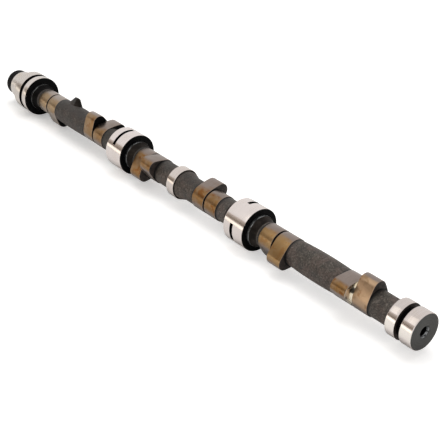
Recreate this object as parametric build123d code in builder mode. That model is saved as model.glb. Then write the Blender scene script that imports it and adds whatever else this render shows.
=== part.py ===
from build123d import *
from math import atan2, cos, degrees, radians, sin, sqrt
import os

# One-piece cast camshaft of an in-line six-cylinder engine.
# X runs along the shaft from the timing gear end to the rear end, Z is up,
# and the origin is on the axis at the middle of the front journal.
# Angles are measured about X, from +Y (0 degrees) up towards +Z (90 degrees).

# Places along the shaft
cylinder_pitch = 104.0
first_pair_x = 49.0
second_journal_x = 210.0
centre_band_x = 307.6

# Bearing journals, front to rear, each small enough for the bearing before it
front_journal_radius = 24.0
second_journal_radius = 23.0
third_journal_radius = 22.4
rear_journal_radius = 17.7
journal_width = 28.5
rear_journal_width = 28.8
journal_edge = 0.5

# Raised hub where a journal meets the shaft
hub_radius = 16.4
hub_lip = 2.2
hub_length = 10.0

# Oil grooves and slots
oil_groove_x = 2.1
oil_groove_width = 6.0
oil_groove_depth = 2.2
rear_groove_x = -1.0
rear_groove_width = 5.8
rear_groove_depth = 5.2
slot_width = 4.2
slot_depth = 2.0
slot_offset = -2.4
second_slot_angle = 109.0
second_slot_arc = 76.0
third_slot_angle = 185.0
third_slot_arc = 50.0
third_slot_count = 3

# Cam lobes
base_radius = 13.8
lobe_lift = 8.2
nose_radius = 8.2
flank_radius = 80.0
lobe_width = 17.8
lobe_gap = 2.2
lobe_edge = 0.5
gap_floor_radius = 12.8

# Timing: the first cylinder's two noses and the order in which cylinders fire
front_lobe_angle = 337.0
rear_lobe_angle = 267.0
firing_order = [1, 5, 3, 6, 2, 4]

# Shaft between the lobes
slim_neck_radius = 13.0
full_neck_radius = 14.2
lug_neck_end_radius = 13.6
rear_neck_end_radius = 13.1

# Ground band at mid-length
band_radius = 16.9
band_width = 11.5
band_edge = 0.4
band_hub_radius = 15.2
band_hub_lip = 4.0
band_hub_length = 11.0

# Gear seat, nose and key at the front end
seat_radius = 17.2
seat_length = 22.0
seat_edge = 0.8
nose_end_radius = 15.6
nose_end_length = 13.6
nose_end_chamfer = 1.5
key_angle = 300.0
key_width = 5.0
key_cutter_radius = 8.0
key_depth = 3.5

# Lathe centres in the two end faces
centre_hole_radius = 3.4
centre_mouth_radius = 5.8
centre_hole_depth = 16.0
centre_angle = 60.0

# Casting lug on the first long neck
lug_x = 87.7
lug_angle = 66.0
lug_top_radius = 22.0
lug_root_length = 25.4
lug_root_width = 12.0
lug_root_setback = 0.6
lug_top_length = 8.8
lug_top_width = 4.0
lug_root_depth = 1.4

# Places that follow from the sizes above
main_pitch = 2 * cylinder_pitch
journals = [
    (0.0, front_journal_radius, journal_width),
    (second_journal_x, second_journal_radius, journal_width),
    (second_journal_x + main_pitch, third_journal_radius, journal_width),
    (second_journal_x + 2 * main_pitch, rear_journal_radius, rear_journal_width),
]
third_journal_x = journals[2][0]
rear_journal_x = journals[3][0]
rear_face_x = rear_journal_x + rear_journal_width / 2
seat_front_x = -journal_width / 2 - seat_length
front_face_x = seat_front_x - nose_end_length
pair_centres = [first_pair_x + cylinder_pitch * k for k in range(6)]
pair_half = lobe_width + lobe_gap / 2
phase_step = 360.0 / 6


def radial_plane(angle):
    """Plane through the axis: local x along the shaft, local y outwards at the angle."""
    turn = radians(angle)
    return Plane(origin=(0, 0, 0), x_dir=(1, 0, 0), z_dir=(0, -sin(turn), cos(turn)))


def turned(points):
    """Revolve an outline of (x, radius) points, closed along the shaft's axis."""
    first = points[0]
    last = points[-1]
    with BuildSketch(Plane.XZ) as section:
        with BuildLine():
            Polyline((first[0], 0), *points, (last[0], 0), close=True)
        make_face()
    revolve(section.sketch, axis=Axis.X)


def barrel(start, end, end_radius, middle_radius):
    """Cast neck that swells from its two ends to its middle."""
    with BuildSketch(Plane.XZ) as section:
        with BuildLine():
            Polyline((end, end_radius), (end, 0), (start, 0), (start, end_radius))
            ThreePointArc((start, end_radius), ((start + end) / 2, middle_radius), (end, end_radius))
        make_face()
    revolve(section.sketch, axis=Axis.X)


def ring_cut(x, width, outer_radius, depth):
    """Cut a full groove round the shaft, middle at x."""
    with BuildSketch(Plane.XZ) as section:
        with Locations((x, outer_radius)):
            Rectangle(width, 2 * depth)
    revolve(section.sketch, axis=Axis.X, mode=Mode.SUBTRACT)


def slot_cut(x, outer_radius, middle_angle, arc):
    """Cut an oil slot part of the way round the journal at x, just ahead of its middle."""
    with BuildSketch(radial_plane(middle_angle - arc / 2)) as section:
        with Locations((x + slot_offset, outer_radius)):
            Rectangle(slot_width, 2 * slot_depth)
    revolve(section.sketch, axis=Axis.X, revolution_arc=arc, mode=Mode.SUBTRACT)


def journal(x, radius, width, front_hub, rear_hub):
    """One journal with broken edges, and a hub on each side that has one."""
    half = width / 2
    front = [(x - half, radius - journal_edge)]
    rear = [(x + half, radius - journal_edge)]
    if front_hub:
        front = [
            (x - half - hub_length, slim_neck_radius),
            (x - half - hub_lip, hub_radius),
            (x - half, hub_radius),
        ] + front
    if rear_hub:
        rear += [
            (x + half, hub_radius),
            (x + half + hub_lip, hub_radius),
            (x + half + hub_length, slim_neck_radius),
        ]
    turned(front + [(x - half + journal_edge, radius), (x + half - journal_edge, radius)] + rear)


# One lobe with its nose towards +Y and its front face at the origin
nose_centre = base_radius + lobe_lift - nose_radius
to_base = flank_radius - base_radius
to_nose = flank_radius - nose_radius
flank_y = (to_base**2 - to_nose**2 + nose_centre**2) / (2 * nose_centre)
flank_z = sqrt(to_base**2 - flank_y**2)
base_turn = degrees(atan2(flank_z, -flank_y))
nose_turn = degrees(atan2(flank_z, nose_centre - flank_y))
with BuildPart() as lobe:
    with BuildSketch(Plane.YZ):
        with BuildLine():
            CenterArc((nose_centre, 0), nose_radius, -nose_turn, 2 * nose_turn)
            CenterArc((flank_y, -flank_z), flank_radius, nose_turn, base_turn - nose_turn)
            CenterArc((0, 0), base_radius, base_turn, 360 - 2 * base_turn)
            CenterArc((flank_y, flank_z), flank_radius, -base_turn, base_turn - nose_turn)
        make_face()
    extrude(amount=lobe_width)
    chamfer(lobe.faces().filter_by(Axis.X).edges(), length=lobe_edge)

# Each cylinder's pair follows the one that fires before it by a sixth of a turn
lobe_places = []
for order, cylinder in enumerate(firing_order):
    middle = pair_centres[cylinder - 1]
    turn = -phase_step * order
    lobe_places.append(Location((middle - pair_half, 0, 0), (front_lobe_angle + turn, 0, 0)))
    lobe_places.append(Location((middle + lobe_gap / 2, 0, 0), (rear_lobe_angle + turn, 0, 0)))

with BuildPart() as camshaft:
    # Slim core from the gear seat to the rear journal
    turned([(seat_front_x, slim_neck_radius), (rear_face_x - journal_edge, slim_neck_radius)])

    # Full as-cast necks in the two bays that hold no journal
    for front_pair, end_radius in ((0, lug_neck_end_radius), (4, rear_neck_end_radius)):
        start = pair_centres[front_pair] + pair_half
        end = pair_centres[front_pair + 1] - pair_half
        barrel(start - lobe_edge, end + lobe_edge, end_radius, full_neck_radius)

    # Narrow ground band between the third and fourth pairs
    band_front = centre_band_x - band_width / 2
    band_rear = centre_band_x + band_width / 2
    turned(
        [
            (band_front, band_radius - band_edge),
            (band_front + band_edge, band_radius),
            (band_rear - band_edge, band_radius),
            (band_rear, band_radius - band_edge),
            (band_rear, band_hub_radius),
            (band_rear + band_hub_lip, band_hub_radius),
            (band_rear + band_hub_length, slim_neck_radius),
        ]
    )

    # Journals
    for number, (place, radius, width) in enumerate(journals):
        journal(place, radius, width, front_hub=number in (1, 2), rear_hub=number < 3)

    # Gear seat and nose
    turned(
        [
            (seat_front_x, seat_radius - seat_edge),
            (seat_front_x + seat_edge, seat_radius),
            (-journal_width / 2, seat_radius),
        ]
    )
    turned(
        [
            (front_face_x, nose_end_radius - nose_end_chamfer),
            (front_face_x + nose_end_chamfer, nose_end_radius),
            (seat_front_x, nose_end_radius),
        ]
    )

    # Cam lobes and the relief between the two of each pair
    with Locations(*lobe_places):
        add(lobe.part)
    for middle in pair_centres:
        ring_cut(middle, lobe_gap, base_radius, base_radius - gap_floor_radius)

    # Casting lug, tapering outwards from the neck
    lug_plane = Plane(
        origin=(lug_x, 0, 0),
        x_dir=(1, 0, 0),
        z_dir=(0, cos(radians(lug_angle)), sin(radians(lug_angle))),
    )
    with BuildSketch(lug_plane.offset(full_neck_radius - lug_root_depth)):
        with Locations((lug_root_setback, 0)):
            Ellipse(lug_root_length / 2, lug_root_width / 2)
    with BuildSketch(lug_plane.offset(lug_top_radius)):
        Ellipse(lug_top_length / 2, lug_top_width / 2)
    loft()

    # Oil groove, rear groove and oil slots
    ring_cut(oil_groove_x, oil_groove_width, front_journal_radius, oil_groove_depth)
    ring_cut(rear_journal_x + rear_groove_x, rear_groove_width, rear_journal_radius, rear_groove_depth)
    slot_cut(second_journal_x, second_journal_radius, second_slot_angle, second_slot_arc)
    for number in range(third_slot_count):
        middle = third_slot_angle + 360.0 / third_slot_count * number
        slot_cut(third_journal_x, third_journal_radius, middle, third_slot_arc)

    # Seat for a half-round key in the gear seat
    key_centre = seat_radius + key_cutter_radius - key_depth
    with BuildSketch(radial_plane(key_angle)):
        with Locations((seat_front_x + seat_length / 2, key_centre)):
            Circle(key_cutter_radius)
    extrude(amount=key_width / 2, both=True, mode=Mode.SUBTRACT)

    # Lathe centres
    rear_face = Plane(origin=(rear_face_x, 0, 0), z_dir=(1, 0, 0))
    front_face = Plane(origin=(front_face_x, 0, 0), z_dir=(-1, 0, 0))
    with Locations(rear_face, front_face):
        CounterSinkHole(centre_hole_radius, centre_mouth_radius, centre_hole_depth, centre_angle)

camshaft.part.label = "camshaft"
os.makedirs("parts", exist_ok=True)
export_step(camshaft.part, "parts/camshaft.step")
print("solids", len(camshaft.part.solids()), "box", camshaft.part.bounding_box())
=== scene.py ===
from math import atan2, cos, hypot, pi, radians, sin, sqrt, tan

import bpy
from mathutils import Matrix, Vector


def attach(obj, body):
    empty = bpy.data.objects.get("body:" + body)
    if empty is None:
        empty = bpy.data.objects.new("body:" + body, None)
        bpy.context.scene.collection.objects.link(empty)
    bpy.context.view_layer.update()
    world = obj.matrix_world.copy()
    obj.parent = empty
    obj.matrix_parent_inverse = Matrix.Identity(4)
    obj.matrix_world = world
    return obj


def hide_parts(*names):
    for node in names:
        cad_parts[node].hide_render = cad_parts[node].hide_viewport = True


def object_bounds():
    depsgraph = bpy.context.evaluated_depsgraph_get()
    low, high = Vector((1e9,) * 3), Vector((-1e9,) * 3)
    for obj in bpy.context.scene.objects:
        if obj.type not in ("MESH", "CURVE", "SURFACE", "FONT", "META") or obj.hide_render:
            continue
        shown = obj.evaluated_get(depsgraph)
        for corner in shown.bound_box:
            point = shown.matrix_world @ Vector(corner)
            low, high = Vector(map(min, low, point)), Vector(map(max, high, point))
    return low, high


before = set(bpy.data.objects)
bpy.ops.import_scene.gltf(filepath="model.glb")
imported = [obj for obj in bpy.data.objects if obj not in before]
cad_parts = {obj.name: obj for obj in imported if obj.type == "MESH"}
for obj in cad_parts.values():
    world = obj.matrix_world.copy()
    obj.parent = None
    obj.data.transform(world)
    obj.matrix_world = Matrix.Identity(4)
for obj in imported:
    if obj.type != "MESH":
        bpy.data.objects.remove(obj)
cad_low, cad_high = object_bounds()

bl_info = {
    "name": "Camshaft",
    "version": (1, 0, 0),
    "blender": (4, 5, 0),
    "location": "3D View > Sidebar > Camshaft",
    "description": "A one-piece cast camshaft with ground journals and cam lobes, and a studio for it",
    "category": "Object",
}

# X runs along the shaft from the gear end, Z is up, and the origin is in the front journal.
# An angle about X starts at +Y and grows towards +Z.
FIRING_ORDER = (1, 5, 3, 6, 2, 4)
PAIRS = len(FIRING_ORDER)
FIRST_PAIR = 0.049
CYLINDER_PITCH = 0.104
CASTING = "camshaft_casting"
# How far each face turns towards the side of the lobes where their golden reflection is painted, or straight
# away from it.
PAINTED_REFLECTION_SIDE = "painted_reflection_side"

# Points closer than MERGE are one, NEAR is too small to see, and FINE_ROUND rounds the turned corners
MERGE = 0.000002
NEAR = 0.00002
FINE_ROUND = 0.00025


# Settings


def length(name, description, default, lowest=0.0):
    """A size that is shown in the scene's own unit."""
    return bpy.props.FloatProperty(
        name=name, description=description, default=default, min=lowest, precision=5,
        unit="LENGTH", subtype="DISTANCE",
    )


def place(name, description, default):
    """A place along the shaft, which may lie ahead of what it is measured from."""
    return length(name, description, default, lowest=-1.0)


def turn(name, description, default):
    """An angle about the shaft, given in degrees."""
    return bpy.props.FloatProperty(
        name=name, description=description, default=radians(default), unit="ROTATION", subtype="ANGLE"
    )


def colour(name, description, default):
    """A finish's colour."""
    return bpy.props.FloatVectorProperty(
        name=name, description=description, default=default, size=3, min=0.0, max=1.0, subtype="COLOR"
    )


class ShaftSizes(bpy.types.PropertyGroup):
    """Sizes of the turned and ground parts of the shaft."""

    journal_width: length("Journal width", "Width of the first three journals", 0.0285)
    front_radius: length("Front journal radius", "Radius of the front journal", 0.024)
    second_radius: length("Second journal radius", "Radius of the second journal", 0.023)
    third_radius: length("Third journal radius", "Radius of the third journal", 0.0224)
    rear_radius: length("Rear journal radius", "Radius of the rear journal", 0.0177)
    rear_width: length("Rear journal width", "Width of the rear journal", 0.0288)
    second_place: place("Second journal", "Middle of the second journal", 0.210)
    journal_pitch: length("Journal pitch", "Distance from the second journal to each one behind it", 0.208)
    edge: length("Journal edge", "Chamfer on each journal's edges", 0.0005)
    slim_radius: length("Slim neck radius", "Radius of the necks beside the journals", 0.013)
    full_radius: length("Full neck radius", "Radius of the two long necks at their middle", 0.0142)
    lug_end_radius: length("Lug neck end radius", "Radius of the lug's neck at its ends", 0.0136)
    rear_end_radius: length("Rear neck end radius", "Radius of the long rear neck at its ends", 0.0131)
    hub_radius: length("Hub radius", "Radius of the hub beside a journal", 0.0164)
    hub_lip: length("Hub lip", "Length of the hub before it tapers", 0.0022)
    hub_length: length("Hub length", "Length of the hub and its taper", 0.010)
    band_place: place("Band", "Middle of the narrow ground band", 0.3076)
    band_radius: length("Band radius", "Radius of the ground band", 0.0169)
    band_width: length("Band width", "Width of the ground band", 0.0115)
    band_hub_radius: length("Band hub radius", "Radius of the hub behind the band", 0.0152)
    band_hub_lip: length("Band hub lip", "Length of the band's hub before it tapers", 0.004)
    band_hub_length: length("Band hub length", "Length of the band's hub and its taper", 0.011)
    seat_radius: length("Gear seat radius", "Radius of the gear seat", 0.0172)
    seat_length: length("Gear seat length", "Length of the gear seat", 0.022)
    seat_edge: length("Gear seat edge", "Chamfer on the gear seat's front edge", 0.0008)
    nose_radius: length("Nose radius", "Radius of the nose ahead of the gear seat", 0.0156)
    nose_length: length("Nose length", "Length of the nose", 0.0136)
    nose_chamfer: length("Nose chamfer", "Chamfer on the nose's front edge", 0.0015)
    groove_place: place("Oil groove", "Middle of the front journal's oil groove", 0.0021)
    groove_width: length("Oil groove width", "Width of the oil groove", 0.0060)
    groove_depth: length("Oil groove depth", "Depth of the oil groove", 0.0022)
    rear_groove_offset: place("Rear groove offset", "Rear groove's middle, from the rear journal's", -0.0010)
    rear_groove_width: length("Rear groove width", "Width of the rear journal's groove", 0.0058)
    rear_groove_depth: length("Rear groove depth", "Depth of the rear journal's groove", 0.0052)
    centre_radius: length("Centre hole radius", "Radius of the lathe centres' drilled part", 0.0034)
    centre_mouth: length("Centre mouth radius", "Radius of the lathe centres' mouth", 0.0058)
    centre_depth: length("Centre hole depth", "Depth of the lathe centres", 0.016)
    steps: bpy.props.IntProperty(
        name="Steps", description="Flat faces round the turned shaft", default=160, min=48, max=240
    )


class LobeSizes(bpy.types.PropertyGroup):
    """Profile, places and timing of the cam lobes."""

    first_place: place("First pair", "Middle of the first cylinder's pair of lobes", FIRST_PAIR)
    pitch: length("Cylinder pitch", "Distance from one cylinder's pair to the next", CYLINDER_PITCH)
    width: length("Lobe width", "Width of one lobe", 0.0178)
    gap: length("Lobe gap", "Relief between the two lobes of a pair", 0.0022)
    base_radius: length("Base circle", "Radius of the base circle", 0.0138)
    lift: length("Lift", "How far the nose stands above the base circle", 0.0082)
    nose_radius: length("Nose radius", "Radius of the nose circle", 0.0082)
    flank_radius: length("Flank radius", "Radius of the two flanks", 0.080)
    edge: length("Lobe edge", "Rounding on the lobe's side edges", 0.0005)
    floor_radius: length("Relief radius", "Radius of the shaft in the relief between two lobes", 0.0128)
    front_angle: turn("Front lobe", "Nose of the first cylinder's front lobe", 337.0)
    rear_angle: turn("Rear lobe", "Nose of the first cylinder's rear lobe", 267.0)


class DetailSizes(bpy.types.PropertyGroup):
    """Sizes of the oil slots, the key seat and the casting lug."""

    slot_width: length("Slot width", "Width of the oil slots", 0.0042)
    slot_depth: length("Slot depth", "Depth of the oil slots", 0.002)
    slot_offset: place("Slot offset", "Slot's middle, from its journal's", -0.0024)
    second_angle: turn("Second journal slot", "Middle of the second journal's slot", 109.0)
    second_arc: turn("Second journal slot arc", "How far round the second journal's slot goes", 76.0)
    third_angle: turn("Third journal slots", "Middle of the first of the third journal's slots", 185.0)
    third_arc: turn("Third journal slot arc", "How far round each of them goes", 50.0)
    key_angle: turn("Key seat", "Side of the gear seat that holds the key", 300.0)
    key_width: length("Key width", "Width of the key seat", 0.005)
    key_cutter: length("Key cutter radius", "Radius of the cutter that sinks the key seat", 0.008)
    key_depth: length("Key seat depth", "Depth of the key seat at its middle", 0.0035)
    # The side of the lobes where a golden reflection is painted, and the opposite side too.
    painted_reflection_angle: turn("Stain angle", "Side of the lobes with dried oil, as the side opposite has", 150.0)
    lug_place: place("Lug", "Middle of the casting lug's top", 0.0877)
    lug_angle: turn("Lug angle", "Side of the shaft that the lug stands on", 66.0)
    lug_top: length("Lug top", "Radius that the lug reaches", 0.022)
    lug_root: length("Lug root depth", "How deep the lug starts inside the neck", 0.0014)
    lug_length: length("Lug length", "Length of the lug's root along the shaft", 0.0254)
    lug_setback: length("Lug setback", "How far the middle of the lug's root lies behind its top's", 0.0006)
    lug_width: length("Lug width", "Width of the lug's root", 0.012)
    lug_top_length: length("Lug top length", "Length of the lug's top along the shaft", 0.0088)
    lug_top_width: length("Lug top width", "Width of the lug's top", 0.004)


class FinishColours(bpy.types.PropertyGroup):
    """Colours of the iron's finishes."""

    journal: colour("Ground journal", "Bright ground journals and band", (0.75, 0.69, 0.67))
    front: colour("Front end", "Duller ground metal of the front journal and gear seat", (0.61, 0.57, 0.535))
    lobe: colour("Ground lobe", "Ground cam lobes where they are clean", (0.275, 0.225, 0.20))
    # This colour is the golden reflection of warm light painted on two sides of each lobe.
    stain: colour("Oil stain", "Dried oil on the two sides of each lobe", (0.215, 0.115, 0.040))
    skin: colour("Cast skin", "Rough skin of the casting", (0.044, 0.0345, 0.028))
    side: colour("Turned side", "Dark turned side faces and grooves", (0.003, 0.003, 0.0033))
    hub: colour("Turned hub", "Dark glossy hubs beside the journals", (0.0105, 0.0082, 0.0068))
    end: colour("Rear end face", "Turned rear end face", (0.085, 0.085, 0.080))
    bare: colour("Bare metal", "The ground sides of the last two lobes", (0.95, 0.90, 0.80))
    flat: colour("Lobe side", "Dark brown side faces of the lobes", (0.044, 0.033, 0.028))
    rim: colour("Rubbed rim", "Rubbed rims of the hubs", (0.26, 0.27, 0.275))


class StudioSettings(bpy.types.PropertyGroup):
    """The floor and the camera."""

    floor: colour("Floor", "Colour of the floor", (0.92, 0.92, 0.92))
    lens: bpy.props.FloatProperty(
        name="Lens", description="Focal length of the camera", default=79.6, unit="CAMERA", min=10.0
    )
    azimuth: turn("Camera azimuth", "Camera's turn round the shaft", 51.33)
    elevation: turn("Camera elevation", "Camera's height above the horizon", 30.34)
    camera: bpy.props.FloatVectorProperty(
        name="Camera place", description="Where the camera stands", default=(1.0375, -0.5331, 0.4831),
        size=3, subtype="TRANSLATION", unit="LENGTH",
    )


# Hand tools


def deselect_everything():
    """Leave edit mode and drop every selection, the frame's too."""
    if bpy.context.object and bpy.context.object.mode != "OBJECT":
        bpy.ops.object.mode_set(mode="OBJECT")
    bpy.ops.object.select_all(action="DESELECT")


def only(piece):
    """Select one piece and make it the active one."""
    deselect_everything()
    piece.select_set(True)
    bpy.context.view_layer.objects.active = piece


def edit_all():
    """Select everything in the active piece, in edit mode."""
    bpy.ops.object.mode_set(mode="EDIT")
    bpy.ops.mesh.select_all(action="SELECT")


def pick(piece, kind, test):
    """Select the points or edges of a piece that pass a test on the places of their points."""
    bpy.ops.object.mode_set(mode="EDIT")
    bpy.ops.mesh.select_mode(type=kind)
    bpy.ops.mesh.select_all(action="DESELECT")
    bpy.ops.object.mode_set(mode="OBJECT")
    mesh = piece.data
    found = 0
    for part in mesh.vertices if kind == "VERT" else mesh.edges:
        places = [part.co] if kind == "VERT" else [mesh.vertices[i].co for i in part.vertices]
        if test(places):
            part.select = True
            found += 1
    bpy.ops.object.mode_set(mode="EDIT")
    return found


def named(name):
    """The piece just added, with its name on it and on its mesh."""
    piece = bpy.context.object
    piece.name = piece.data.name = name
    return piece


def apply_place():
    """Make the active piece's place, turn and scale part of its mesh."""
    bpy.ops.object.transform_apply(location=True, rotation=True, scale=True)


def set_down(piece, angle, x, away=Vector()):
    """Turn the active piece about X, put it at its place along the shaft and away from the axis."""
    piece.rotation_euler = (angle, 0.0, 0.0)
    piece.location = Vector((x, 0.0, 0.0)) + away
    apply_place()


def start_outline(name, first):
    """Start a piece as one point, to be drawn out in edit mode."""
    deselect_everything()
    bpy.ops.mesh.primitive_plane_add(size=0.002, location=first)
    piece = named(name)
    apply_place()
    edit_all()
    bpy.ops.mesh.select_mode(type="VERT")
    bpy.ops.mesh.merge(type="CENTER")
    return piece


def draw_to(step):
    """Draw what is selected on by one straight step."""
    bpy.ops.mesh.extrude_region_move(TRANSFORM_OT_translate={"value": step})


def draw_arc(centre, angle, steps):
    """Draw what is selected on by an arc about X. Spin turns clockwise, so its axis points back."""
    bpy.ops.mesh.spin(steps=steps, angle=angle, center=centre, axis=(-1.0, 0.0, 0.0))


def round_off(radius, kind="EDGES", segments=3):
    """Round the selected edges or corners."""
    bpy.ops.mesh.bevel(offset=radius, segments=segments, profile=0.5, affect=kind)


def close_up():
    """Merge what meets in the active piece, and turn every face outwards."""
    edit_all()
    bpy.ops.mesh.remove_doubles(threshold=MERGE)
    bpy.ops.mesh.normals_make_consistent(inside=False)
    bpy.ops.object.mode_set(mode="OBJECT")


def join(pieces):
    """Join pieces into the first of them."""
    deselect_everything()
    for piece in pieces:
        piece.select_set(True)
    bpy.context.view_layer.objects.active = pieces[0]
    bpy.ops.object.join()
    return pieces[0]


def combine(piece, other, operation):
    """Join, or cut away, another closed piece, which is used up."""
    only(piece)
    bpy.ops.object.modifier_add(type="BOOLEAN")
    modifier = piece.modifiers[-1]
    modifier.operation = operation
    modifier.solver = "EXACT"
    modifier.object = other
    bpy.ops.object.modifier_apply(modifier=modifier.name)
    only(other)
    bpy.ops.object.delete()
    only(piece)


def outwards(angle):
    """The direction away from the axis at an angle about X."""
    return Vector((0.0, cos(angle), sin(angle)))


def casting():
    """The casting made so far."""
    piece = bpy.data.objects.get(CASTING)
    if piece is None:
        raise RuntimeError("turn the shaft first")
    return piece


def journals(shaft):
    """Place, radius and width of each journal, front to rear."""
    second = shaft.second_place
    return (
        (0.0, shaft.front_radius, shaft.journal_width),
        (second, shaft.second_radius, shaft.journal_width),
        (second + shaft.journal_pitch, shaft.third_radius, shaft.journal_width),
        (second + 2 * shaft.journal_pitch, shaft.rear_radius, shaft.rear_width),
    )


def ends(middle, width):
    """Front and rear end of a width about its middle."""
    return middle - width / 2, middle + width / 2


def pair_places(lobes):
    """Middle of each cylinder's pair of lobes."""
    return [lobes.first_place + lobes.pitch * k for k in range(PAIRS)]


# Shader tools


class Field:
    """A shader socket that takes Python's arithmetic."""

    def __init__(self, graph, socket):
        self.graph = graph
        self.socket = socket

    def maths(self, operation, *others):
        """A Math node on this socket and others."""
        return self.graph.node("ShaderNodeMath", {"operation": operation}, self, *others)

    def __add__(self, other):
        return self.maths("ADD", other)

    def __sub__(self, other):
        return self.maths("SUBTRACT", other)

    def __mul__(self, other):
        return self.maths("MULTIPLY", other)

    def __truediv__(self, other):
        return self.maths("DIVIDE", other)

    def __pow__(self, other):
        return self.maths("POWER", other)

    __radd__ = __add__

    def ramp(self, low, high, to_low=0.0, to_high=1.0):
        """A smooth change from one value to another between two inputs."""
        settings = {"interpolation_type": "SMOOTHSTEP"}
        return self.graph.node("ShaderNodeMapRange", settings, self, low, high, to_low, to_high)


class Graph:
    """The nodes of a material or a world under construction."""

    def __init__(self, tree):
        self.tree = tree

    def node(self, kind, settings, *values, output=0, **named_values):
        """Add a node, apply its settings, fill its sockets and give one output."""
        node = self.tree.nodes.new(kind)
        for key, value in settings.items():
            setattr(node, key, value)
        for index, value in enumerate(values):
            self.fill(node.inputs[index], value)
        for key, value in named_values.items():
            self.fill(node.inputs[key], value)
        return Field(self, node.outputs[output])

    def fill(self, socket, value):
        """Link a field to a socket, or set the socket's value."""
        if isinstance(value, Field):
            self.tree.links.new(value.socket, socket)
        else:
            socket.default_value = value

    def axes(self, place):
        """The three parts of a place."""
        return [self.node("ShaderNodeSeparateXYZ", {}, place, output=axis) for axis in "XYZ"]

    def at(self, x, y, z):
        """A place made of three numbers or fields."""
        return self.node("ShaderNodeCombineXYZ", {}, x, y, z)

    def mix(self, factor, first, second, blend="MIX"):
        """Mix two colours. A Mix node's colours are its sockets 6 and 7, and output 2."""
        node = self.tree.nodes.new("ShaderNodeMix")
        node.data_type = "RGBA"
        node.blend_type = blend
        node.clamp_factor = True
        self.fill(node.inputs[0], factor)
        self.fill(node.inputs[6], self.rgba(first))
        self.fill(node.inputs[7], self.rgba(second))
        return Field(self, node.outputs[2])

    def coats(self, tone, *layers):
        """Lay colours over one another, each as far as its own factor says."""
        for factor, coat, *blend in layers:
            tone = self.mix(factor, tone, coat, *blend)
        return tone

    @staticmethod
    def rgba(value):
        """A colour with its fourth number, or a field as it is."""
        if isinstance(value, Field):
            return value
        return (*value[:3], 1.0)


class Finish(Graph):
    """A material under construction, with the place on the piece and its radius at hand."""

    def __init__(self, name):
        self.material = bpy.data.materials.new(name)
        self.material.use_nodes = True
        super().__init__(self.material.node_tree)
        self.shader = self.tree.nodes["Principled BSDF"]
        self.place = self.node("ShaderNodeTexCoord", {}, output="Object")
        self.x, self.y, self.z = self.axes(self.place)
        self.radius = (self.y * self.y + self.z * self.z) ** 0.5

    def noise(self, scale, detail, roughness, place=None):
        """Noise between about 0 and 1, over the piece or over another place."""
        values = {"Vector": place or self.place, "Scale": scale, "Detail": detail, "Roughness": roughness}
        return self.node("ShaderNodeTexNoise", {}, **values)

    def streaks(self, along, across, detail, roughness):
        """Noise that is drawn out round the shaft, as grinding marks are."""
        place = self.at(self.x * along, self.y * across, self.z * across)
        return self.noise(1.0, detail, roughness, place)

    def rings(self, out, along, detail, roughness):
        """Noise that changes only outwards and along the shaft, as turning marks do."""
        return self.noise(1.0, detail, roughness, self.at(self.radius * out, self.x * along, 0.0))

    def bumped(self, height, distance, strength):
        """The material, once a height is fed to its normal."""
        normal = self.node("ShaderNodeBump", {}, Strength=strength, Distance=distance, Height=height)
        self.fill(self.shader.inputs["Normal"], normal)
        return self.material

    def surface(self, **values):
        """Fill the shader's own sockets."""
        for key, value in values.items():
            if key == "Base_Color":
                value = self.rgba(value)
            self.fill(self.shader.inputs[key.replace("_", " ")], value)


def times(colour, factor):
    """A colour made lighter or darker."""
    return [part * factor for part in colour]


def ground_journal(colours):
    """Bright ground metal with fine lines round the shaft, duller at the front end, with painted shade on the
    undersides and on the rear journal's top, and a painted highlight along the rear journal's side.
    """
    finish = Finish("ground_journal")
    x = finish.x
    up = finish.z / finish.radius
    lines = finish.streaks(9000.0, 60.0, 3.0, 0.6)
    marks = lines * 0.6 + finish.streaks(900.0, 25.0, 2.0, 0.5) * 0.4
    patch = finish.noise(55.0, 3.0, 0.55)
    front = x.ramp(0.04, -0.01)
    band = x.ramp(0.299, 0.301) * x.ramp(0.315, 0.313)
    rear = x.ramp(0.600, 0.606)
    tone = finish.coats(
        colours.journal,
        (front, colours.front),
        (marks.ramp(0.35, 0.68) * 0.8, (0.90, 0.885, 0.87), "MULTIPLY"),
        (patch.ramp(0.50, 0.74) * (0.25 + front * 0.6), (0.93, 0.86, 0.74), "MULTIPLY"),
        (band, (0.88, 0.87, 0.85), "MULTIPLY"),
        # Painted shade on the rear journal's top, and a painted highlight along its side just below.
        (rear * up.ramp(0.50, 0.90), (0.84, 0.83, 0.82), "MULTIPLY"),
        (rear * up.ramp(0.50, 0.30) * up.ramp(-0.40, 0.0) * 0.8, (0.96, 0.91, 0.85)),
        # Painted shade on the undersides.
        (up.ramp(-0.25, -0.80), (0.80, 0.80, 0.79), "MULTIPLY"),
    )
    finish.surface(Base_Color=tone, Metallic=1.0, Roughness=lines * 0.08 + patch * 0.06 + 0.10 + front * 0.10)
    return finish.bumped(marks, 0.00002, 0.35)


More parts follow.
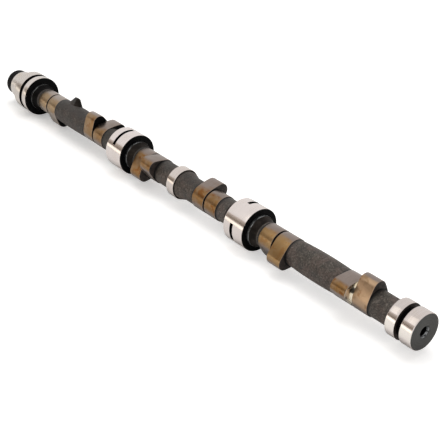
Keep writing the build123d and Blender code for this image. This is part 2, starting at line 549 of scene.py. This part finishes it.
def ground_lobe(colours):
    """Ground lobe, grey, with a painted golden-brown reflection of warm light on two opposite sides of every
    lobe.
    """
    finish = Finish("ground_lobe")
    x = finish.x
    lines = finish.streaks(6000.0, 80.0, 3.0, 0.6)
    smear = finish.streaks(45.0, 140.0, 4.0, 0.6)
    patch = finish.noise(110.0, 4.0, 0.6)
    spot = finish.noise(170.0, 2.0, 0.5)
    side = finish.node("ShaderNodeAttribute", {"attribute_name": PAINTED_REFLECTION_SIDE}, output="Fac")
    # Painted golden reflection: on faces turned towards the chosen side or straight away from it, broken up
    # by smears.
    oil = (side + (smear - 0.5) * 0.55).ramp(0.62, 0.92)
    front = x.ramp(0.20, 0.07)
    fifth_pair = x.ramp(0.42, 0.44) * x.ramp(0.51, 0.50)
    last_pair = x.ramp(0.568, 0.572) * patch.ramp(0.66, 0.50, 0.15, 0.80)
    clean = finish.coats(
        colours.lobe,
        (lines.ramp(0.35, 0.7), times(colours.lobe, 0.80)),
        (patch.ramp(0.45, 0.75) * 0.5, (0.205, 0.165, 0.135)),
        (front * 0.55, (0.43, 0.375, 0.33)),
    )
    # The painted reflection's golden tone, with darker spots, lighter at the front, on the fifth pair and on
    # the last pair.
    dried = finish.coats(
        colours.stain,
        (patch.ramp(0.40, 0.66), (0.255, 0.162, 0.088)),
        (spot.ramp(0.54, 0.64) * 0.9, (0.19, 0.072, 0.014)),
        (lines.ramp(0.4, 0.75) * 0.3, (0.28, 0.20, 0.13)),
        (front * 0.50, (0.38, 0.30, 0.20)),
        (fifth_pair * 0.35, (0.42, 0.28, 0.13)),
        (last_pair, (0.47, 0.33, 0.22)),
    )
    tone = finish.mix(oil, clean, dried)
    finish.surface(Base_Color=tone, Metallic=1.0, Roughness=lines * 0.10 + patch * 0.12 + 0.22)
    return finish.bumped(lines * 0.5 + patch * 0.5, 0.00004, 0.4)


def cast_skin(colours):
    """Rough charcoal skin of the casting, smeared brown and grey-green, with painted shade beside the lobes,
    on the tops of the front necks and on the neck ahead of the second journal.
    """
    finish = Finish("cast_skin")
    x = finish.x
    grain = finish.noise(620.0, 4.0, 0.7)
    lumps = finish.noise(170.0, 3.0, 0.55)
    stain = finish.noise(75.0, 4.0, 0.62)
    green = finish.noise(48.0, 4.0, 0.65, finish.at(x + 3.0, finish.y, finish.z))
    # Painted shade in the corners beside each pair of lobes.
    pairs_passed = (x - FIRST_PAIR) / CYLINDER_PITCH
    from_pair = ((pairs_passed + 0.5).maths("FRACT") - 0.5).maths("ABSOLUTE") * CYLINDER_PITCH
    painted_shade_beside_lobe = from_pair.ramp(0.0226, 0.0198)
    on_hub = finish.radius.ramp(0.0156, 0.0172)
    front_neck = x.ramp(0.15, 0.12)
    # Painted shade on the tops of the necks ahead of the third journal.
    painted_shade_on_top = (finish.z / finish.radius).ramp(0.55, 0.95) * x.ramp(0.42, 0.38)
    # Painted shadow from behind the second pair of lobes to the second journal, fading out towards the band.
    oily = x.ramp(0.165, 0.173) * x.ramp(0.30, 0.20)
    tone = finish.coats(
        colours.skin,
        (stain.ramp(0.40, 0.60), (0.074, 0.051, 0.042)),
        (green.ramp(0.50, 0.64) * 0.7, (0.034, 0.030, 0.021)),
        (lumps.ramp(0.54, 0.70) * 0.6, (0.105, 0.088, 0.074)),
        (lumps.ramp(0.46, 0.32) * 0.5, (0.022, 0.018, 0.016)),
        (grain.ramp(0.52, 0.66) * 0.8, (0.15, 0.13, 0.11)),
        (grain.ramp(0.47, 0.34) * 0.85, (0.010, 0.008, 0.007)),
        (on_hub * 0.75, (0.008, 0.007, 0.006)),
        (painted_shade_beside_lobe * 0.9, (0.004, 0.0035, 0.003)),
        (front_neck * 0.45, (0.012, 0.010, 0.009)),
        (painted_shade_on_top * 0.5, (0.010, 0.009, 0.008)),
        (oily * 0.65, (0.012, 0.011, 0.008)),
    )
    finish.surface(Base_Color=tone, Roughness=0.45 + stain * 0.25, Specular_IOR_Level=0.42)
    return finish.bumped(grain * 0.40 + lumps * 0.60, 0.0009, 0.7)


def turned_side(colours):
    """Near-black turned side faces, grooves and nose."""
    finish = Finish("turned_side")
    rings = finish.rings(3000.0, 3000.0, 2.0, 0.6)
    patch = finish.noise(120.0, 3.0, 0.6)
    tone = finish.mix(patch.ramp(0.45, 0.8), colours.side, times(colours.side, 2.2))
    finish.surface(Base_Color=tone, Roughness=0.45 + rings * 0.2, Specular_IOR_Level=0.045)
    return finish.bumped(rings, 0.00006, 0.6)


def turned_hub(colours):
    """Dark, oily hub with fine steps round it, near black at the front journal."""
    finish = Finish("turned_hub")
    rings = finish.rings(900.0, 900.0, 2.0, 0.6)
    patch = finish.noise(150.0, 4.0, 0.6)
    tone = finish.coats(
        colours.hub,
        (patch.ramp(0.42, 0.70), times(colours.hub, 2.4)),
        (finish.x.ramp(0.08, 0.04) * 0.85, (0.0015, 0.0015, 0.002)),
    )
    finish.surface(Base_Color=tone, Roughness=0.30 + patch * 0.25, Specular_IOR_Level=0.05)
    return finish.bumped(rings * 0.6 + patch * 0.4, 0.0003, 0.6)


def bare_metal(colours):
    """Rubbed bright metal with a fine wave, partly covered by dark oil."""
    finish = Finish("bare_metal")
    wave = finish.noise(260.0, 3.0, 0.6)
    oil = finish.noise(130.0, 3.0, 0.6, finish.at(finish.x + 1.0, finish.y, finish.z))
    tone = finish.mix(oil.ramp(0.47, 0.60) * 0.85, colours.bare, (0.05, 0.04, 0.03))
    finish.surface(Base_Color=tone, Metallic=1.0, Roughness=0.20 + wave * 0.15)
    return finish.bumped(wave, 0.0006, 0.5)


def lobe_side(colours):
    """Dark brown side of a lobe, smeared and a little oily, with painted shade near the axis where it meets
    the neck.
    """
    finish = Finish("lobe_side")
    rings = finish.rings(1400.0, 0.0, 2.0, 0.6)
    patch = finish.noise(200.0, 4.0, 0.65)
    tone = finish.coats(
        colours.flat,
        (patch.ramp(0.42, 0.64), times(colours.flat, 0.45)),
        (patch.ramp(0.38, 0.28) * 0.6, (0.15, 0.13, 0.11)),
        # Painted shade where the side meets the neck.
        (finish.radius.ramp(0.0148, 0.0139), (0.003, 0.003, 0.003)),
    )
    finish.surface(Base_Color=tone, Roughness=0.42 + patch * 0.25, Specular_IOR_Level=0.3)
    return finish.bumped(rings * 0.3 + patch * 0.7, 0.0004, 0.6)


def rubbed_rim(colours):
    """Dull rubbed metal with dark patches, and painted shade deep in a lathe centre."""
    finish = Finish("rubbed_rim")
    wave = finish.noise(210.0, 3.0, 0.6, finish.at(finish.x * 3.0, finish.y, finish.z))
    tone = finish.coats(
        colours.rim,
        (wave.ramp(0.46, 0.60) * 0.9, (0.02, 0.02, 0.021)),
        # Painted shade deep in the lathe centre.
        (finish.radius.ramp(0.0048, 0.0045), (0.002, 0.002, 0.002)),
    )
    finish.surface(Base_Color=tone, Metallic=1.0, Roughness=0.30 + wave * 0.2)
    return finish.bumped(wave, 0.0004, 0.5)


def end_face(colours):
    """Dark grey turned end face with rings."""
    finish = Finish("end_face")
    rings = finish.rings(1700.0, 0.0, 3.0, 0.65)
    patch = finish.noise(140.0, 3.0, 0.6)
    tone = finish.coats(
        colours.end,
        (rings.ramp(0.38, 0.62), times(colours.end, 0.62)),
        (patch.ramp(0.5, 0.75) * 0.4, (0.07, 0.064, 0.056)),
    )
    finish.surface(Base_Color=tone, Metallic=0.3, Roughness=0.42 + rings * 0.2, Specular_IOR_Level=0.3)
    return finish.bumped(rings, 0.00008, 0.5)


FINISHES = (
    cast_skin, ground_journal, ground_lobe, turned_side, end_face, turned_hub, bare_metal, rubbed_rim,
    lobe_side,
)
SKIN, JOURNAL, LOBE, SIDE, END, HUB, BARE, RIM, LOBE_SIDE = range(len(FINISHES))


# Operators


class CAMSHAFT_OT_turn_shaft(bpy.types.Operator):
    """Draw the shaft's outline from end to end and spin it into one turned piece"""

    bl_idname = "camshaft.turn_shaft"
    bl_label = "Turn the shaft"

    def execute(self, context):
        shaft = context.scene.camshaft_shaft
        lobes = context.scene.camshaft_lobes
        points = self.outline(shaft, lobes)
        piece = start_outline(CASTING, (points[0][0], 0.0, points[0][1]))
        for before, after in zip(points, points[1:]):
            draw_to((after[0] - before[0], 0.0, after[1] - before[1]))
        rounds = {}
        for x, radius, rounding in points:
            if rounding:
                rounds.setdefault(rounding, set()).add((round(x, 6), round(radius, 6)))
        for rounding, corners in rounds.items():
            found = pick(piece, "VERT", lambda at: (round(at[0].x, 6), round(at[0].z, 6)) in corners)
            if found != len(corners):
                raise RuntimeError(f"{found} of {len(corners)} corners found")
            round_off(rounding, "VERTICES")
        edit_all()
        bpy.ops.mesh.spin(steps=shaft.steps, angle=2 * pi, center=(0.0, 0.0, 0.0), axis=(1.0, 0.0, 0.0))
        close_up()
        return {"FINISHED"}

    def outline(self, shaft, lobes):
        """Places, radii and corner roundings of the shaft's outline, front to rear."""
        slim = shaft.slim_radius
        half = lobes.width + lobes.gap / 2
        pairs = pair_places(lobes)
        front, second, third, rear = journals(shaft)
        seat_front = -front[2] / 2 - shaft.seat_length
        nose_front = seat_front - shaft.nose_length
        rear_front, end = ends(rear[0], rear[2])
        half_angle = radians(30)
        cone = (shaft.centre_mouth - shaft.centre_radius) / tan(half_angle)
        lap = 0.003
        band_edge = 0.0004
        swell_steps = 16

        points = [
            (nose_front + shaft.centre_depth, 0.0, 0),
            (nose_front + shaft.centre_depth, shaft.centre_radius, 0),
            (nose_front + cone, shaft.centre_radius, 0),
            (nose_front, shaft.centre_mouth, FINE_ROUND),
            (nose_front, shaft.nose_radius - shaft.nose_chamfer, FINE_ROUND),
            (nose_front + shaft.nose_chamfer, shaft.nose_radius, FINE_ROUND),
            (seat_front, shaft.nose_radius, 0),
            (seat_front, shaft.seat_radius - shaft.seat_edge, 0),
            (seat_front + shaft.seat_edge, shaft.seat_radius, FINE_ROUND),
        ]

        def land(first, last, radius, edge=shaft.edge, rounding=FINE_ROUND):
            """A ground land from one broken edge to the other."""
            return [
                (first, radius - edge, 0),
                (first + edge, radius, rounding),
                (last - edge, radius, rounding),
                (last, radius - edge, 0),
            ]

        def groove(middle, width, radius, floor, rounding=FINE_ROUND):
            """A square groove, from one radius down to another."""
            low, high = ends(middle, width)
            return [(low, radius, rounding), (low, floor, 0), (high, floor, 0), (high, radius, rounding)]

        def hub(face, away, radius=shaft.hub_radius, lip=shaft.hub_lip, reach=shaft.hub_length):
            """The hub beside a face: -1 for one that lies ahead of it, 1 for one behind it."""
            taper = [
                (face, radius, 0),
                (face + away * lip, radius, 3 * FINE_ROUND),
                (face + away * reach, slim, 0),
            ]
            return taper[::away]

        def relief(middle):
            """The lower floor between two lobes, which runs on a little way inside them."""
            return groove(middle, lobes.gap + 2 * lap, slim, lobes.floor_radius, 0)

        def full_neck(first, last, end_radius):
            """A long neck between two pairs of lobes, which swells to its middle."""
            low, high = pairs[first] + half - lobes.edge, pairs[last] - half + lobes.edge
            swell = []
            for step in range(swell_steps + 1):
                away = 2.0 * step / swell_steps - 1.0
                radius = end_radius + (shaft.full_radius - end_radius) * (1.0 - away**2)
                swell.append(((low + high) / 2 + away * (high - low) / 2, radius, 0))
            return [(low, slim, 0)] + swell + [(high, slim, 0)]

        face = front[2] / 2
        body = land(-face, face, front[1])
        points += [(-face, shaft.seat_radius, 0)] + body[:2]
        points += groove(shaft.groove_place, shaft.groove_width, front[1], front[1] - shaft.groove_depth)
        points += body[2:] + hub(face, 1)
        points += relief(pairs[0]) + full_neck(0, 1, shaft.lug_end_radius) + relief(pairs[1])
        for number, journal in ((1, second), (2, third)):
            low, high = ends(journal[0], journal[2])
            points += hub(low, -1) + land(low, high, journal[1]) + hub(high, 1)
            points += relief(pairs[2 * number])
            if number == 1:
                low, high = ends(shaft.band_place, shaft.band_width)
                points.append((low, slim, 0))
                points += land(low, high, shaft.band_radius, band_edge, FINE_ROUND / 2)
                points += hub(high, 1, shaft.band_hub_radius, shaft.band_hub_lip, shaft.band_hub_length)
                points += relief(pairs[3])
        points += full_neck(4, 5, shaft.rear_end_radius) + relief(pairs[5])
        body = land(rear_front, end, rear[1])
        points += [(rear_front, slim, 0)] + body[:2]
        middle = rear[0] + shaft.rear_groove_offset
        points += groove(middle, shaft.rear_groove_width, rear[1], rear[1] - shaft.rear_groove_depth)
        points += body[2:]
        points += [
            (end, shaft.centre_mouth, FINE_ROUND),
            (end - cone, shaft.centre_radius, 0),
            (end - shaft.centre_depth, shaft.centre_radius, 0),
            (end - shaft.centre_depth, 0.0, 0),
        ]
        return points


class CAMSHAFT_OT_add_lobes(bpy.types.Operator):
    """Draw one cam lobe, copy it to its twelve places and join them to the shaft"""

    bl_idname = "camshaft.add_lobes"
    bl_label = "Add the cam lobes"

    def execute(self, context):
        lobes = context.scene.camshaft_lobes
        shaft = casting()
        pattern = self.draw_lobe(lobes)
        copies = []
        half = lobes.width + lobes.gap / 2
        for order, cylinder in enumerate(FIRING_ORDER):
            middle = pair_places(lobes)[cylinder - 1]
            back = 2 * pi / PAIRS * order
            for x, angle in (
                (middle - half, lobes.front_angle - back),
                (middle + lobes.gap / 2, lobes.rear_angle - back),
            ):
                copies.append(self.copy_lobe(pattern, x, angle))
        only(pattern)
        bpy.ops.object.delete()
        combine(shaft, join(copies), "UNION")
        return {"FINISHED"}

    def draw_lobe(self, lobes):
        """One lobe with its nose towards +Y and its front face at the origin."""
        nose = lobes.base_radius + lobes.lift - lobes.nose_radius
        to_base = lobes.flank_radius - lobes.base_radius
        to_nose = lobes.flank_radius - lobes.nose_radius
        flank_y = (to_base**2 - to_nose**2 + nose**2) / (2 * nose)
        flank_z = sqrt(to_base**2 - flank_y**2)
        base_turn = atan2(flank_z, -flank_y)
        nose_turn = atan2(flank_z, nose - flank_y)
        first = (0.0, nose + lobes.nose_radius * cos(nose_turn), -lobes.nose_radius * sin(nose_turn))
        piece = start_outline("cam_lobe", first)
        nose_steps, flank_steps, base_steps = 28, 10, 64
        draw_arc((0.0, nose, 0.0), 2 * nose_turn, nose_steps)
        draw_arc((0.0, flank_y, -flank_z), base_turn - nose_turn, flank_steps)
        draw_arc((0.0, 0.0, 0.0), 2 * (pi - base_turn), base_steps)
        draw_arc((0.0, flank_y, flank_z), base_turn - nose_turn, flank_steps)
        edit_all()
        bpy.ops.mesh.remove_doubles(threshold=MERGE)
        bpy.ops.mesh.edge_face_add()
        draw_to((lobes.width, 0.0, 0.0))
        close_up()
        pick(piece, "EDGE", lambda at: abs(at[0].x - at[1].x) < MERGE)
        round_off(lobes.edge)
        close_up()
        return piece

    def copy_lobe(self, pattern, x, angle):
        """A copy of the lobe with its own mesh, turned to its angle and moved to its place."""
        only(pattern)
        bpy.ops.object.duplicate(linked=False)
        piece = bpy.context.object
        set_down(piece, angle, x)
        return piece


class CAMSHAFT_OT_add_lug(bpy.types.Operator):
    """Shape the casting lug on the first long neck and join it to the shaft"""

    bl_idname = "camshaft.add_lug"
    bl_label = "Add the casting lug"

    def execute(self, context):
        detail = context.scene.camshaft_detail
        radius = context.scene.camshaft_shaft.full_radius - detail.lug_root
        shaft = casting()
        height = detail.lug_top - radius
        half = height / 2
        top_round = 0.0012
        deselect_everything()
        bpy.ops.mesh.primitive_cylinder_add(vertices=48, radius=0.5, depth=height, location=(0.0, 0.0, half))
        piece = named("casting_lug")
        piece.scale = (detail.lug_length, detail.lug_width, 1.0)
        apply_place()
        pick(piece, "VERT", lambda at: at[0].z > half)
        bpy.ops.transform.resize(
            value=(detail.lug_top_length / detail.lug_length, detail.lug_top_width / detail.lug_width, 1.0)
        )
        pick(piece, "VERT", lambda at: at[0].z < half)
        bpy.ops.transform.translate(value=(detail.lug_setback, 0.0, 0.0))
        pick(piece, "EDGE", lambda at: min(p.z for p in at) > half)
        round_off(top_round, segments=4)
        close_up()
        set_down(piece, detail.lug_angle - pi / 2, detail.lug_place, outwards(detail.lug_angle) * radius)
        combine(shaft, piece, "UNION")
        return {"FINISHED"}


class CAMSHAFT_OT_cut_slots(bpy.types.Operator):
    """Cut the oil slots into two journals and the key seat into the gear seat"""

    bl_idname = "camshaft.cut_slots"
    bl_label = "Cut the slots"

    def execute(self, context):
        sizes = context.scene.camshaft_shaft
        detail = context.scene.camshaft_detail
        shaft = casting()
        second, third = journals(sizes)[1:3]
        cutters = [self.slot_cutter(detail, second, detail.second_angle, detail.second_arc)]
        third_slots = 3
        for number in range(third_slots):
            angle = detail.third_angle + 2 * pi / third_slots * number
            cutters.append(self.slot_cutter(detail, third, angle, detail.third_arc))
        cutters.append(self.key_cutter(sizes, detail))
        combine(shaft, join(cutters), "DIFFERENCE")
        return {"FINISHED"}

    def slot_cutter(self, detail, journal, angle, arc):
        """A curved bar that fills one slot."""
        x, radius = journal[:2]
        start = outwards(angle - arc / 2)
        edge = Vector((x + detail.slot_offset - detail.slot_width / 2, 0.0, 0.0))
        piece = start_outline("slot_cutter", edge + start * (radius - detail.slot_depth))
        draw_to((detail.slot_width, 0.0, 0.0))
        edit_all()
        draw_to(start * (2 * detail.slot_depth))
        edit_all()
        draw_arc((0.0, 0.0, 0.0), arc, 48)
        close_up()
        return piece

    def key_cutter(self, sizes, detail):
        """A disc that sinks the seat of a half-round key."""
        middle = -sizes.journal_width / 2 - sizes.seat_length / 2
        reach = sizes.seat_radius + detail.key_cutter - detail.key_depth
        deselect_everything()
        bpy.ops.mesh.primitive_cylinder_add(vertices=96, radius=detail.key_cutter, depth=detail.key_width)
        piece = named("key_cutter")
        set_down(piece, detail.key_angle, middle, outwards(detail.key_angle) * reach)
        return piece


# CENTRE_CONE is a little deeper than a lathe centre's cone. RUBBED is where a hub's rim is rubbed, measured
# from the end of its lip, and OILY the share of a hub's length that is oily. A face's normal reaches 1
# along the shaft on a side, about 0.7 on a broken edge, 0.5 in a lathe centre and 0 on a round face: the
# last three numbers tell these apart.
CENTRE_CONE = 0.0045
RUBBED = (-0.0016, 0.0009)
OILY = 0.75
A_SIDE = 0.9
SLANTED = 0.45
ROUND = 0.1


class CAMSHAFT_OT_finish_casting(bpy.types.Operator):
    """Give the ground, turned and cast faces their finishes and tie the casting to the frame"""

    bl_idname = "camshaft.finish_casting"
    bl_label = "Finish the casting"

    def execute(self, context):
        scene = context.scene
        piece = casting()
        colours = scene.camshaft_colours
        piece.data.materials.clear()
        for make in FINISHES:
            piece.data.materials.append(make(colours))
        # Each face's turn towards the side where the lobes' golden reflection is painted.
        side = piece.data.attributes.new(PAINTED_REFLECTION_SIDE, "FLOAT", "FACE")
        middle = outwards(scene.camshaft_detail.painted_reflection_angle)
        for face in piece.data.polygons:
            face.material_index = self.zone(piece.data, face, scene.camshaft_shaft, scene.camshaft_lobes)
            side.data[face.index].value = abs(face.normal.dot(middle))
        only(piece)
        bpy.ops.object.shade_smooth_by_angle(angle=radians(32))
        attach(piece, "root")
        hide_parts("camshaft")
        return {"FINISHED"}

    def zone(self, mesh, face, shaft, lobes):
        """The finish of one face, by its place, its radius and how far it looks along the shaft."""
        x = face.center.x
        backward = face.normal.x
        across = abs(backward)
        radius = hypot(*face.center.yz)
        lowest = min(hypot(*mesh.vertices[i].co.yz) for i in face.vertices)
        rear, _, rear_width = journals(shaft)[3]
        from_end = rear + rear_width / 2 - x
        if from_end < NEAR and radius > shaft.centre_mouth - 2 * FINE_ROUND:
            return END
        if from_end < CENTRE_CONE and radius < shaft.centre_mouth and backward > SLANTED:
            return RIM
        wall = rear + shaft.rear_groove_offset - shaft.rear_groove_width / 2
        if abs(x - wall) < NEAR and backward > A_SIDE:
            return LOBE_SIDE
        behind_seat = x + shaft.journal_width / 2
        if behind_seat < NEAR - shaft.seat_length:
            return SIDE
        if behind_seat < -NEAR:
            ground = radius > shaft.seat_radius - shaft.seat_edge and across < A_SIDE
            return JOURNAL if ground else SIDE
        for middle, size, width in journals(shaft):
            from_face = abs(x - middle) - width / 2
            if from_face < NEAR:
                ground = lowest > size - shaft.edge - NEAR and across < A_SIDE
                broken = middle != rear and backward > SLANTED
                return JOURNAL if ground and not broken else SIDE
            if from_face < shaft.hub_length * OILY and middle != rear:
                if radius > shaft.hub_radius + NEAR:
                    return SKIN
                rubbed = RUBBED[0] < from_face - shaft.hub_lip < RUBBED[1]
                return RIM if rubbed else HUB
        if abs(x - shaft.band_place) < shaft.band_width / 2 + NEAR:
            ground = radius > shaft.band_radius - 2 * FINE_ROUND and across < A_SIDE
            return JOURNAL if ground else SIDE
        for number, middle in enumerate(pair_places(lobes)):
            away = abs(x - middle)
            last = number == PAIRS - 1
            if away < lobes.gap / 2 - NEAR:
                return BARE if last else SIDE
            beyond = away - lobes.gap / 2 - lobes.width
            if beyond < NEAR:
                if beyond > -lobes.edge and radius < lobes.base_radius - NEAR and across < ROUND:
                    return SKIN
                if last and away < lobes.gap and across > A_SIDE:
                    return BARE
                if across < A_SIDE:
                    return LOBE
                return SIDE if number < 2 else LOBE_SIDE
        in_bay = 0.0 < x - lobes.first_place < lobes.pitch
        lug = in_bay and radius > shaft.full_radius + 2 * FINE_ROUND
        # The lug's faces turned towards the rear take the near-black hub finish as painted shade.
        return HUB if lug and backward > ROUND else SKIN


class CAMSHAFT_OT_set_stage(bpy.types.Operator):
    """Lay the floor, hang the lamps and set up the camera"""

    bl_idname = "camshaft.set_stage"
    bl_label = "Set the stage"

    def execute(self, context):
        studio = context.scene.camshaft_studio
        self.lay_floor(studio)
        self.light_world(context.scene)
        self.hang_lamps()
        self.place_camera(context.scene, studio)
        context.scene.view_settings.view_transform = "Standard"
        return {"FINISHED"}

    def lay_floor(self, studio):
        """A wide pale floor that the shaft's largest journal all but touches, with a glow for the camera that
        grows towards the rear and paints the shadow lighter there.
        """
        deselect_everything()
        bpy.ops.mesh.primitive_plane_add(size=30.0, location=(0.3, 0.0, cad_low.z - NEAR))
        floor = named("floor")
        apply_place()
        finish = Finish("pale_floor")
        finish.surface(Base_Color=studio.floor, Roughness=0.9, Specular_IOR_Level=0.0)
        plain = Field(finish, finish.shader.outputs[0])
        # The glow grows towards the rear, which paints the floor's shadow lighter there.
        strength = finish.x.ramp(0.10, 0.42, 0.30, 0.46)
        glow = finish.node("ShaderNodeEmission", {}, (1.0, 1.0, 1.0, 1.0), strength)
        both = finish.node("ShaderNodeAddShader", {}, plain, glow)
        seen = finish.node("ShaderNodeLightPath", {}, output="Is Camera Ray")
        shown = finish.node("ShaderNodeMixShader", {}, seen, plain, both)
        finish.fill(finish.tree.nodes["Material Output"].inputs[0], shown)
        floor.data.materials.append(finish.material)

    def light_world(self, scene):
        """White to the camera and in reflections; as a light, strongest from the front end's side."""
        world = bpy.data.worlds.new("studio_world")
        world.use_nodes = True
        graph = Graph(world.node_tree)
        sky = graph.tree.nodes["Background"]
        sky.inputs["Color"].default_value = (1.0, 0.985, 0.97, 1.0)
        rays = ("Is Camera Ray", "Is Glossy Ray", "Is Transmission Ray")
        camera, glossy, through = [graph.node("ShaderNodeLightPath", {}, output=ray) for ray in rays]
        seen = camera.maths("MAXIMUM", glossy).maths("MAXIMUM", through)
        along = graph.axes(graph.node("ShaderNodeTexCoord", {}, output="Generated"))[0]
        light = graph.node("ShaderNodeMapRange", {}, along, -0.9, 0.7, 1.12, 0.22)
        strength = graph.node("ShaderNodeMapRange", {}, seen, 0.0, 1.0, light, 1.0)
        graph.fill(sky.inputs["Strength"], strength)
        scene.world = world

    def lamp(self, name, place, target, size, radiance, tint):
        """One soft rectangular lamp that the camera doesn't see, as bright as white paper at radiance 1."""
        aim = (Vector(target) - Vector(place)).to_track_quat("-Z", "Y").to_euler()
        bpy.ops.object.light_add(type="AREA", location=place, rotation=aim)
        lamp = named(name)
        lamp.data.shape = "RECTANGLE"
        lamp.data.size, lamp.data.size_y = size
        lamp.data.energy = radiance * pi * size[0] * size[1]
        lamp.data.color = tint
        lamp.visible_camera = False
        return lamp

    def hang_lamps(self):
        """A broad lamp above, a smaller one at the front left, a low strip, and a card, dark low down."""
        deselect_everything()
        top = self.lamp("top_lamp", (0.20, 0.25, 1.35), (0.3, 0.0, 0.0), (1.2, 1.0), 2.4, (1.0, 0.98, 0.96))
        top.visible_glossy = False
        self.lamp("side_lamp", (-0.13, -0.62, 1.16), (-0.13, 0.0, 0.0), (0.56, 0.92), 0.42, (1.0, 0.95, 0.80))
        middle = Vector((-0.75, 0.0, 0.0))
        low = middle + Vector((0.0, -1.0, 0.10))
        self.lamp("low_lamp", low, middle, (2.6, 0.24), 0.78, (1.0, 0.87, 0.66))
        deselect_everything()
        bpy.ops.mesh.primitive_plane_add(size=1.0)
        card = named("dark_card")
        card.scale = (2.6, 0.46, 1.0)
        card.location = middle + Vector((0.0, -0.891, 0.454))
        card.rotation_euler = (middle - card.location).to_track_quat("-Z", "Y").to_euler()
        apply_place()
        finish = Finish("dark_card")
        glow = finish.mix(finish.z.ramp(0.25, 0.70), (0.15, 0.112, 0.082), (0.62, 0.56, 0.50))
        finish.surface(
            Base_Color=(0.02, 0.015, 0.01), Roughness=1.0, Specular_IOR_Level=0.0,
            Emission_Color=glow, Emission_Strength=1.0,
        )
        card.data.materials.append(finish.material)
        card.visible_camera = False
        card.visible_shadow = False
        card.visible_diffuse = False

    def place_camera(self, scene, studio):
        """The camera, above the shaft and beyond its rear end."""
        bpy.ops.object.camera_add(
            location=studio.camera, rotation=(pi / 2 - studio.elevation, 0.0, studio.azimuth)
        )
        camera = named("camera")
        camera.data.lens = studio.lens
        camera.data.sensor_width = 36.0
        camera.data.dof.use_dof = False
        scene.camera = camera


class CAMSHAFT_PT_panel(bpy.types.Panel):
    """Lists the steps that build the camshaft, and their settings"""

    bl_idname = "CAMSHAFT_PT_panel"
    bl_label = "Camshaft"
    bl_space_type = "VIEW_3D"
    bl_region_type = "UI"
    bl_category = "Camshaft"

    def draw(self, context):
        for step in STEPS:
            self.layout.operator(step.bl_idname)
        for group in GROUPS:
            box = self.layout.box()
            settings = getattr(context.scene, group)
            for name in settings.bl_rna.properties.keys():
                if name not in ("rna_type", "name"):
                    box.prop(settings, name)


STEPS = (
    CAMSHAFT_OT_turn_shaft,
    CAMSHAFT_OT_add_lobes,
    CAMSHAFT_OT_add_lug,
    CAMSHAFT_OT_cut_slots,
    CAMSHAFT_OT_finish_casting,
    CAMSHAFT_OT_set_stage,
)
GROUPS = {
    "camshaft_shaft": ShaftSizes,
    "camshaft_lobes": LobeSizes,
    "camshaft_detail": DetailSizes,
    "camshaft_colours": FinishColours,
    "camshaft_studio": StudioSettings,
}


def register():
    """Register the settings, steps and panel."""
    for group, kind in GROUPS.items():
        bpy.utils.register_class(kind)
        setattr(bpy.types.Scene, group, bpy.props.PointerProperty(type=kind))
    for step in (*STEPS, CAMSHAFT_PT_panel):
        bpy.utils.register_class(step)


def unregister():
    """Take them away again."""
    for step in reversed((*STEPS, CAMSHAFT_PT_panel)):
        bpy.utils.unregister_class(step)
    for group, kind in GROUPS.items():
        delattr(bpy.types.Scene, group)
        bpy.utils.unregister_class(kind)


def main():
    """Build the camshaft and its stage."""
    register()
    for step in STEPS:
        area, name = step.bl_idname.split(".")
        getattr(getattr(bpy.ops, area), name)()


if __name__ == "__main__":
    main()
